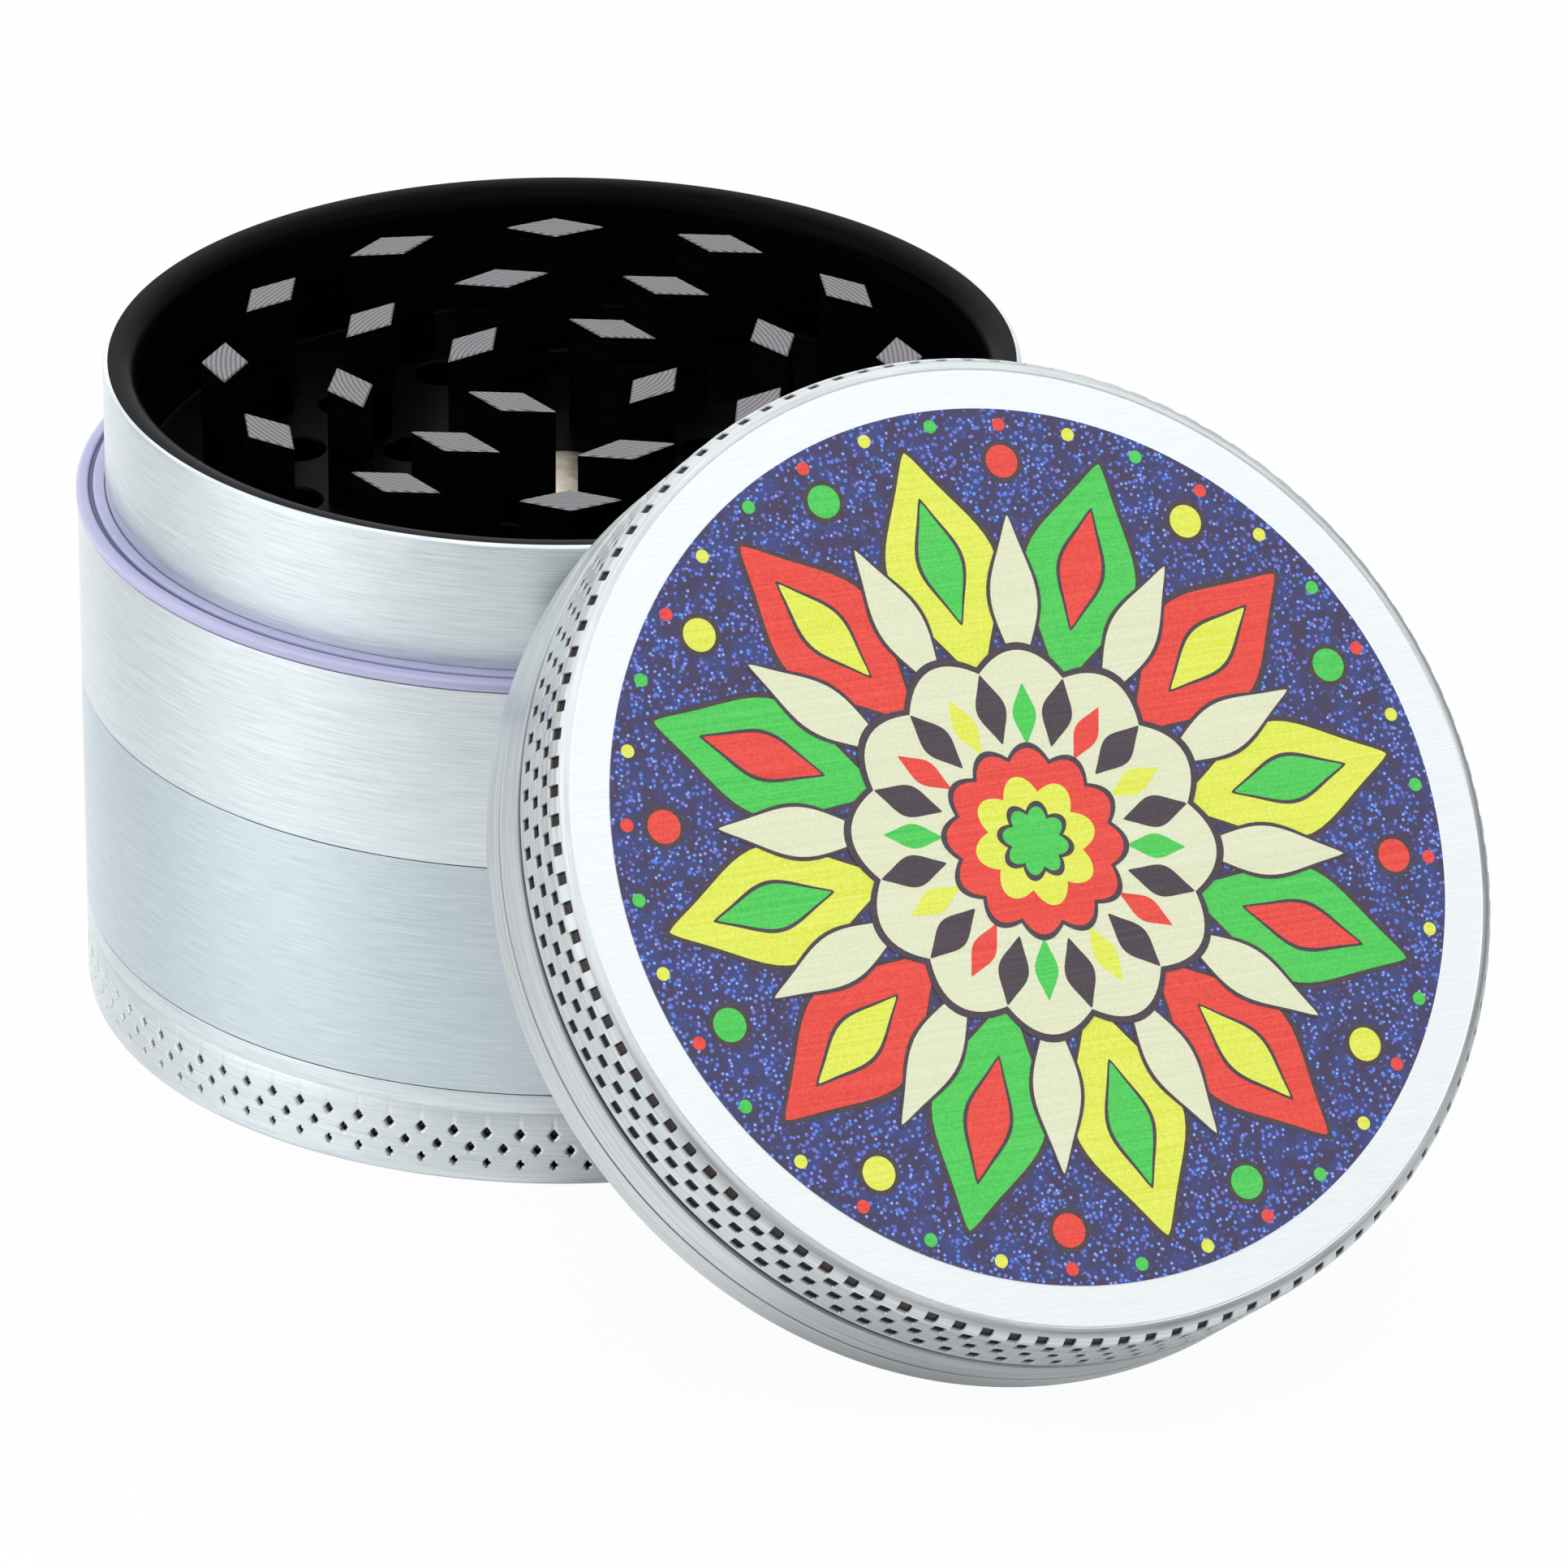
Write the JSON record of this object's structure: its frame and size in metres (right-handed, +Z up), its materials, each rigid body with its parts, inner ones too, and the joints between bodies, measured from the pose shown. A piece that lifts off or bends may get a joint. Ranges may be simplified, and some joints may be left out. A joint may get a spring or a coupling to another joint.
{
  "type": "herb grinder",
  "caption": "Round metal herb grinder in stacked screw-together chambers with a screen and diamond teeth, its printed lid off and leaning on the stack.",
  "frame": {"origin": "centre of the base cup's underside, on the table", "axes": "+Z up along the stack's axis, -Y towards the front, where the lid leans a little to +X"},
  "size_m": [0.0709, 0.0789, 0.0436],
  "materials": {
    "bright_metal": "fine brushed, bare",
    "satin_metal": "satin, bare",
    "chamber_metal": "bare outside, dark coating inside",
    "coated_metal": "dark coating with bare faced tips",
    "steel_mesh": "woven wire",
    "steel": "plain",
    "magnet_plating": "nickel plated",
    "lavender_plastic": "translucent, moulded",
    "print_ink": "printed and clear coated"
  },
  "bodies": {
    "base": {"base_cup": "bright_metal"},
    "screen_rise": {"screen_mesh": "steel_mesh", "screen_retaining_ring": "steel"},
    "screen_chamber": {"screen_chamber": "satin_metal"},
    "tooth_rise": {"grip_ring": "lavender_plastic"},
    "tooth_chamber": {"tooth_chamber": "chamber_metal", "chamber_floor": "coated_metal", "chamber_teeth": "coated_metal", "chamber_magnet": "magnet_plating"},
    "lid_carriage": {"lid_magnet": "magnet_plating"},
    "lid": {"lid": "bright_metal", "lid_teeth": "coated_metal", "lid_print": "print_ink"}
  },
  "joints": [
    {"name": "screen_chamber_rise", "type": "slide", "parent": "base", "child": "screen_rise", "axis": [0, 0, 1], "range_m": [0, 0.0038]},
    {"name": "screen_chamber_turn", "type": "hinge", "parent": "screen_rise", "child": "screen_chamber", "pos_m": [0, 0, 0.01], "axis": [0, 0, 1], "range_deg": [0, 1080]},
    {"name": "tooth_chamber_rise", "type": "slide", "parent": "screen_chamber", "child": "tooth_rise", "axis": [0, 0, 1], "range_m": [0, 0.0038]},
    {"name": "tooth_chamber_turn", "type": "hinge", "parent": "tooth_rise", "child": "tooth_chamber", "pos_m": [0, 0, 0.024], "axis": [0, 0, 1], "range_deg": [0, 1080]},
    {"name": "lid_lift", "type": "slide", "parent": "tooth_rise", "child": "lid_carriage", "axis": [0.3617, -0.6689, 0.6494], "range_m": [0, 0.03]},
    {"name": "lid_turn", "type": "hinge", "parent": "lid_carriage", "child": "lid", "pos_m": [0.01959, -0.02972, 0.01913], "axis": [0.3617, -0.6689, 0.6494], "continuous": true}
  ],
  "couplings": [
    {"joint": "screen_chamber_rise", "follows": "screen_chamber_turn", "m_per_rad": 0.00019894},
    {"joint": "tooth_chamber_rise", "follows": "tooth_chamber_turn", "m_per_rad": 0.00019894}
  ]
}
